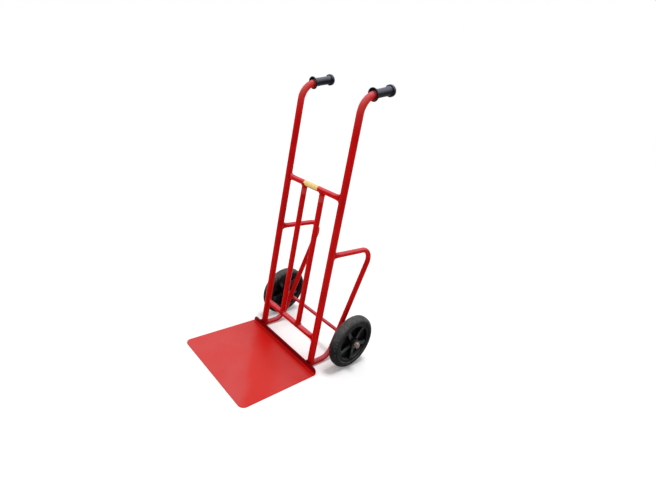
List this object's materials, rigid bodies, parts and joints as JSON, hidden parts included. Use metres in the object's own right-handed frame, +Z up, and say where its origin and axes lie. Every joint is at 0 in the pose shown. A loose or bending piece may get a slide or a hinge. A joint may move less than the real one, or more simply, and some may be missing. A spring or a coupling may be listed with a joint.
{
  "type": "hand cart",
  "caption": "Upright hand cart with a flat toe plate, a welded red tube frame, bent-back handles with rubber grips, and free solid-tyred wheels on one axle.",
  "frame": {"origin": "on the floor at mid-width, on the toe plate's flat underside just in front of its fold", "axes": "+Z up, +X to the left of the person pushing, -Y to the front where the load stands"},
  "size_m": [0.5066, 0.5615, 1.0559],
  "materials": {
    "red_paint": "gloss red powder coat",
    "weld": "painted weld beads",
    "zinc": "satin zinc plate",
    "copper_plate": "copper coloured plate",
    "label": "bare yellow film",
    "grip_rubber": "satin black",
    "tyre_rubber": "dark grey solid rubber",
    "rim_plastic": "gloss black",
    "bush_plastic": "plain black nylon"
  },
  "bodies": {
    "frame": {"axle": "red_paint", "axle_collar_left": "zinc", "axle_collar_right": "zinc", "axle_nut_left": "copper_plate", "axle_nut_right": "copper_plate", "axle_welds": "weld", "bare_label": "label", "cross_bar_welds": "weld", "foot_welds": "weld", "grip_left": "grip_rubber", "grip_right": "grip_rubber", "inner_bar_left": "red_paint", "inner_bar_right": "red_paint", "inner_bar_welds": "weld", "inner_washer_left": "zinc", "inner_washer_right": "zinc", "loop_welds": "weld", "lower_cross_bar": "red_paint", "outer_washer_left": "zinc", "outer_washer_right": "zinc", "side_loop_left": "red_paint", "side_loop_right": "red_paint", "side_rail_left": "red_paint", "side_rail_right": "red_paint", "toe_plate": "red_paint", "upper_cross_bar": "red_paint"},
    "wheel_left": {"tyre_left": "tyre_rubber", "rim_left": "rim_plastic", "hub_bush_inner_left": "bush_plastic", "hub_bush_outer_left": "bush_plastic"},
    "wheel_right": {"tyre_right": "tyre_rubber", "rim_right": "rim_plastic", "hub_bush_inner_right": "bush_plastic", "hub_bush_outer_right": "bush_plastic"}
  },
  "joints": [
    {"name": "left_wheel_spin", "type": "hinge", "parent": "frame", "child": "wheel_left", "pos_m": [0.2125, 0.152, 0.1035], "axis": [1, 0, 0], "continuous": true},
    {"name": "right_wheel_spin", "type": "hinge", "parent": "frame", "child": "wheel_right", "pos_m": [-0.2125, 0.152, 0.1035], "axis": [1, 0, 0], "continuous": true}
  ]
}
